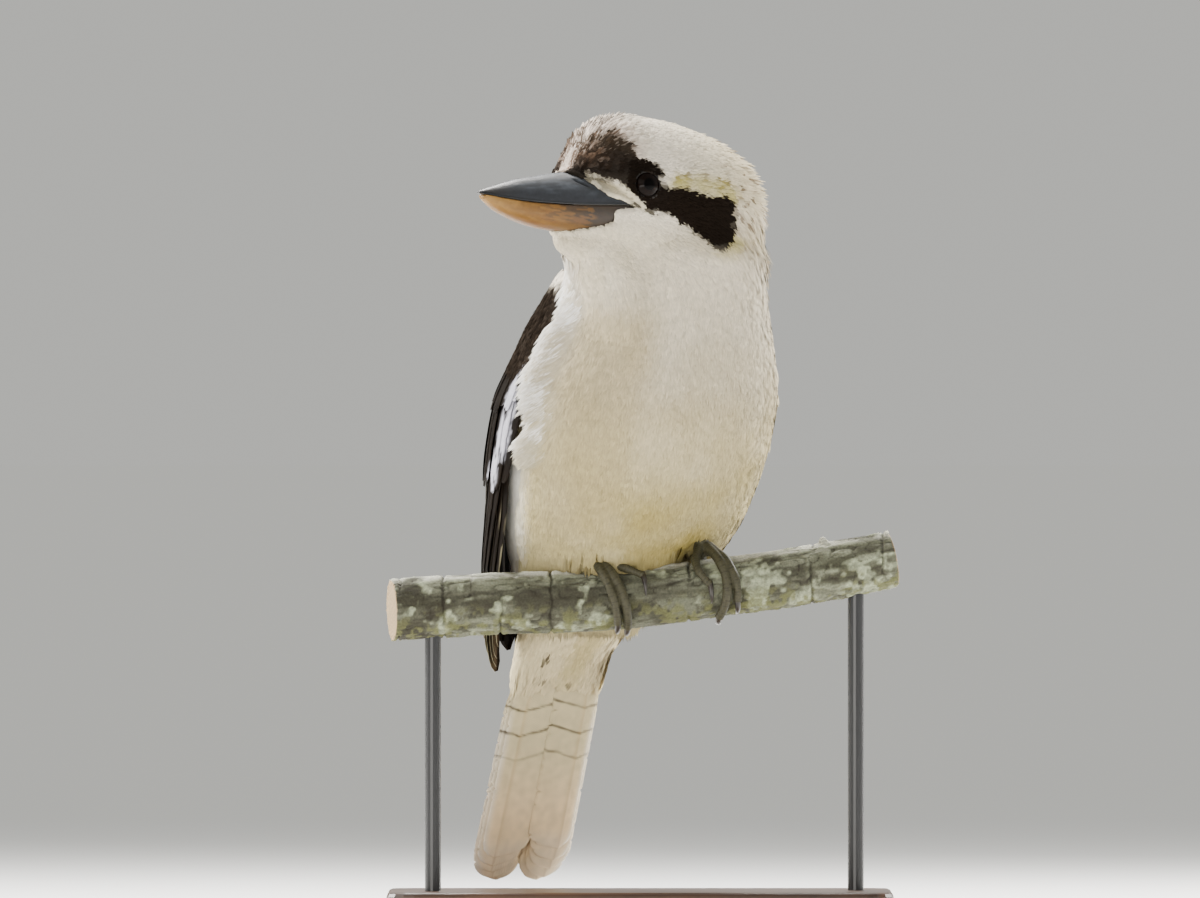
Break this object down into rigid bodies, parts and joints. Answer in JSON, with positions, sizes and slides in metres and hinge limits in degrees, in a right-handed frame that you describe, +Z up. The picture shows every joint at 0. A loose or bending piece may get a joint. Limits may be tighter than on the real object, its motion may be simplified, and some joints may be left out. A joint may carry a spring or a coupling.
{
  "type": "laughing kookaburra on a perch",
  "caption": "Life-size laughing kookaburra with folded wings and head turned aside, gripping a short cut branch held over a flat display base.",
  "frame": {"origin": "middle of the stand base's underside", "axes": "+Z up; the perch runs mostly along X; the bird's breast faces between -Y and +X and its bill between -Y and -X"},
  "size_m": [0.2235, 0.1934, 0.3573],
  "materials": {
    "white_feathers": "soft layered feathers, white to cream, shaded dull olive low on the belly, with a brown-black mask and streaked brown crown on the head and a dark brown back",
    "wing_feathers": "dark brown flight feathers and coverts, the coverts spotted with pale blue-white",
    "tail_feathers": "cream underside and rufous upper side with thin dark bars, tips pale",
    "dark_horn": "dark slate horn with a soft sheen",
    "pale_horn": "tan to orange horn, dark at the root",
    "eye": "wet, very dark brown",
    "foot_skin": "scaled olive-brown skin with dark claws",
    "bark": "grey-brown cracked bark with pale lichen patches",
    "stand_wood": "dark stained wood, satin",
    "stand_steel": "satin black paint on steel"
  },
  "bodies": {
    "root": {"head": "white_feathers", "neck": "white_feathers", "torso": "white_feathers", "wing_left": "wing_feathers", "wing_right": "wing_feathers", "tail": "tail_feathers", "bill_upper": "dark_horn", "bill_lower": "pale_horn", "eye_left": "eye", "eye_right": "eye", "leg_left": "white_feathers", "leg_right": "white_feathers", "foot_left": "foot_skin", "foot_right": "foot_skin", "perch": "bark", "stand_base": "stand_wood", "stand_rod_left": "stand_steel", "stand_rod_right": "stand_steel"}
  },
  "joints": []
}
